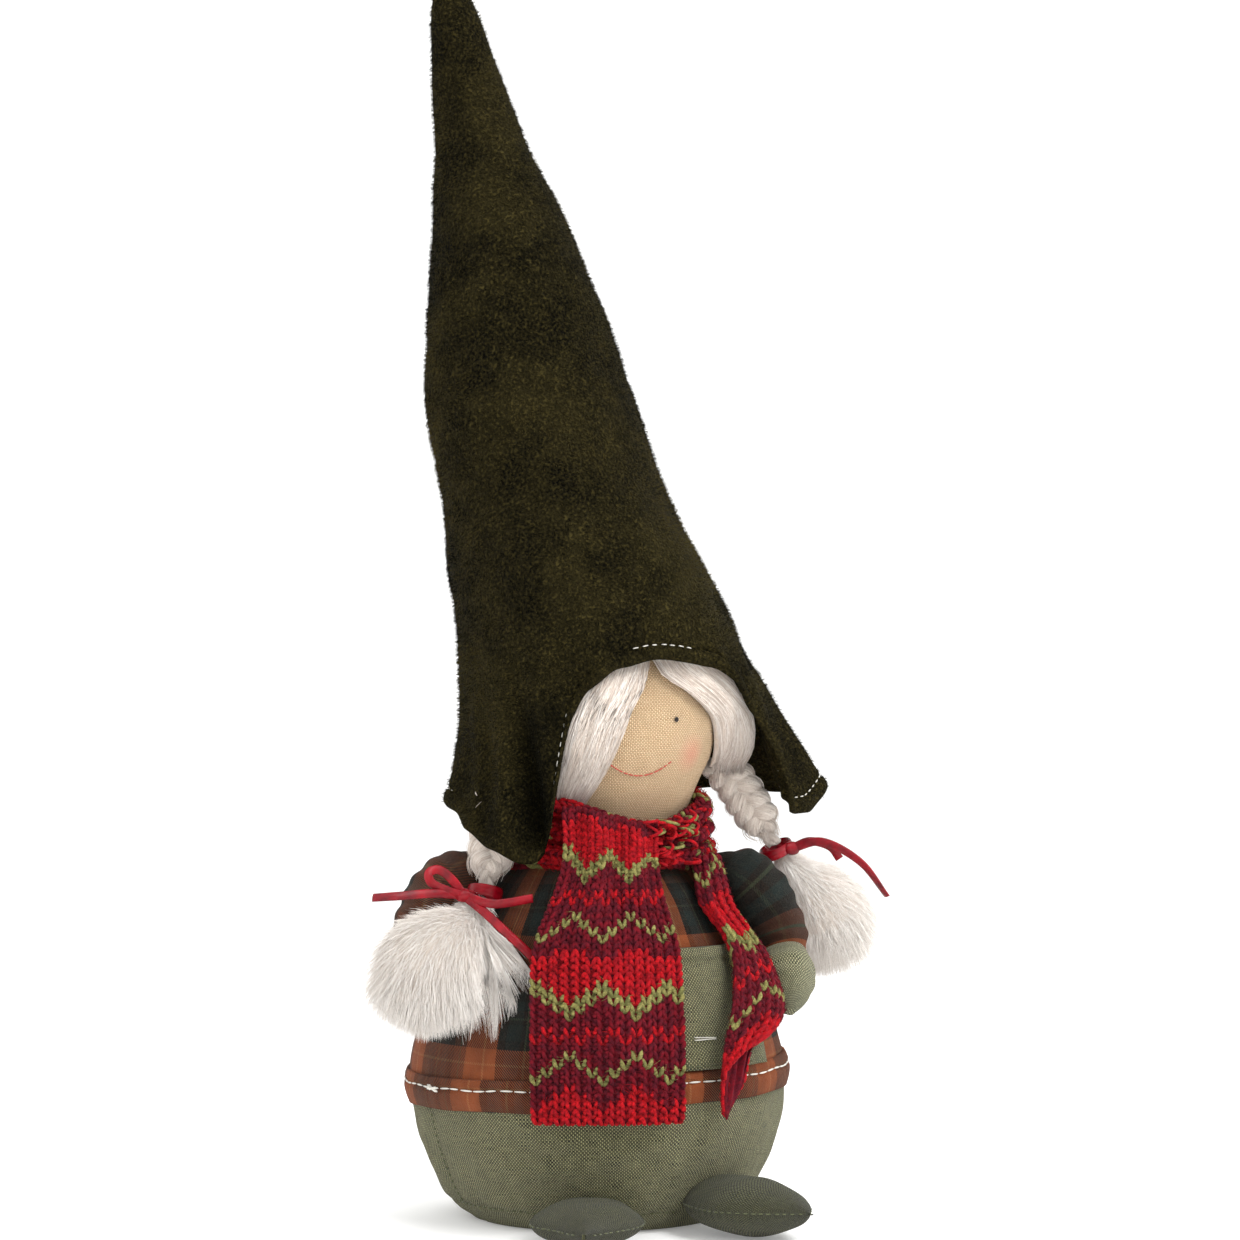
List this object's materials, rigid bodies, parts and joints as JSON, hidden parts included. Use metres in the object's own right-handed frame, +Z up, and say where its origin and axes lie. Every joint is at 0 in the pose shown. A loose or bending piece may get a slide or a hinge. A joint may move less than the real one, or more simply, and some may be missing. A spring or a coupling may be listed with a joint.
{
  "type": "gnome_figurine",
  "caption": "Tomte gnome figurine with a tall plush hat, wool braids tied with ribbon, a knitted scarf, a plaid coat and a stuffed linen body",
  "frame": {"origin": "centre of the flat base underside, at the height the figurine stands on", "axes": "+Z up; the gnome faces -Y; its own left side is +X"},
  "size_m": [0.2273, 0.1867, 0.494],
  "materials": {
    "linen_green": "plain woven linen blend, matt, with slubs and a visible 1.2 mm weave",
    "card": "plain grey-brown card, matt",
    "ballast": "cotton bag filled with fine grain, matt",
    "stuffing_fibre": "white polyester filling, soft and matt",
    "flannel_plaid": "brushed flannel plaid in rust, near-black and teal, matt with a fine nap",
    "thread_white": "white sewing thread, slight sheen",
    "linen_face": "plain woven beige linen, matt",
    "thread_dark": "dark brown embroidery thread, matt",
    "thread_red": "red-pink embroidery thread, matt",
    "wool_white": "warm white wool roving, soft sheen",
    "fur_white": "white long-pile fur, soft",
    "satin_red": "red satin ribbon, glossy along its length",
    "knit_red": "machine-knitted wool in burgundy, red and olive green, matt",
    "plush_olive": "short-pile plush, dark olive brown, with a soft sheen at grazing angles"
  },
  "bodies": {
    "root": {"base_cover": "linen_green", "base_card": "card", "weight_bag": "ballast", "body_stuffing": "stuffing_fibre", "lower_cover": "linen_green", "coat_cover": "flannel_plaid", "hem_band": "flannel_plaid", "hem_topstitch": "thread_white", "front_pocket": "linen_green", "foot_left": "linen_green", "foot_right": "linen_green", "head_cover": "linen_face", "head_stuffing": "stuffing_fibre", "eye_left": "thread_dark", "eye_right": "thread_dark", "smile_thread": "thread_red", "hair_cap": "wool_white", "hair_lock_left": "wool_white", "hair_lock_right": "wool_white", "braid_left": "wool_white", "braid_right": "wool_white", "scarf_wrap": "knit_red", "hat_shell": "plush_olive", "hat_stuffing": "stuffing_fibre", "brim_stitch": "thread_white"},
    "arm_left": {"sleeve_left": "flannel_plaid", "mitten_left": "linen_green"},
    "arm_right": {"sleeve_right": "flannel_plaid", "mitten_right": "linen_green"},
    "tail_left": {"ribbon_left": "satin_red", "tuft_left": "fur_white"},
    "tail_right": {"ribbon_right": "satin_red", "tuft_right": "fur_white"},
    "scarf_front": {"scarf_front_end": "knit_red"},
    "scarf_side": {"scarf_side_end": "knit_red"}
  },
  "joints": [
    {"name": "arm_left_swing", "type": "hinge", "parent": "root", "child": "arm_left", "pos_m": [0.04294, -0.01912, 0.142], "axis": [-0.4067, -0.9136, 0], "range_deg": [0, 20]},
    {"name": "arm_right_swing", "type": "hinge", "parent": "root", "child": "arm_right", "pos_m": [-0.04665, 0.00573, 0.142], "axis": [0.1219, 0.9925, 0], "range_deg": [0, 20]},
    {"name": "tail_left_swing", "type": "hinge", "parent": "root", "child": "tail_left", "pos_m": [0.0752, -0.01, 0.1446], "axis": [0.3779, -0.9258, 0], "range_deg": [0, 30]},
    {"name": "tail_right_swing", "type": "hinge", "parent": "root", "child": "tail_right", "pos_m": [-0.0548, -0.016, 0.1315], "axis": [-0.3867, 0.9222, 0], "range_deg": [0, 30]},
    {"name": "scarf_front_lift", "type": "hinge", "parent": "root", "child": "scarf_front", "pos_m": [-0.01524, -0.04425, 0.1595], "axis": [-0.9455, 0.3256, 0], "range_deg": [0, 60]},
    {"name": "scarf_side_lift", "type": "hinge", "parent": "root", "child": "scarf_side", "pos_m": [0.03198, -0.03552, 0.1435], "axis": [-0.7431, -0.6691, 0], "range_deg": [0, 40]}
  ]
}
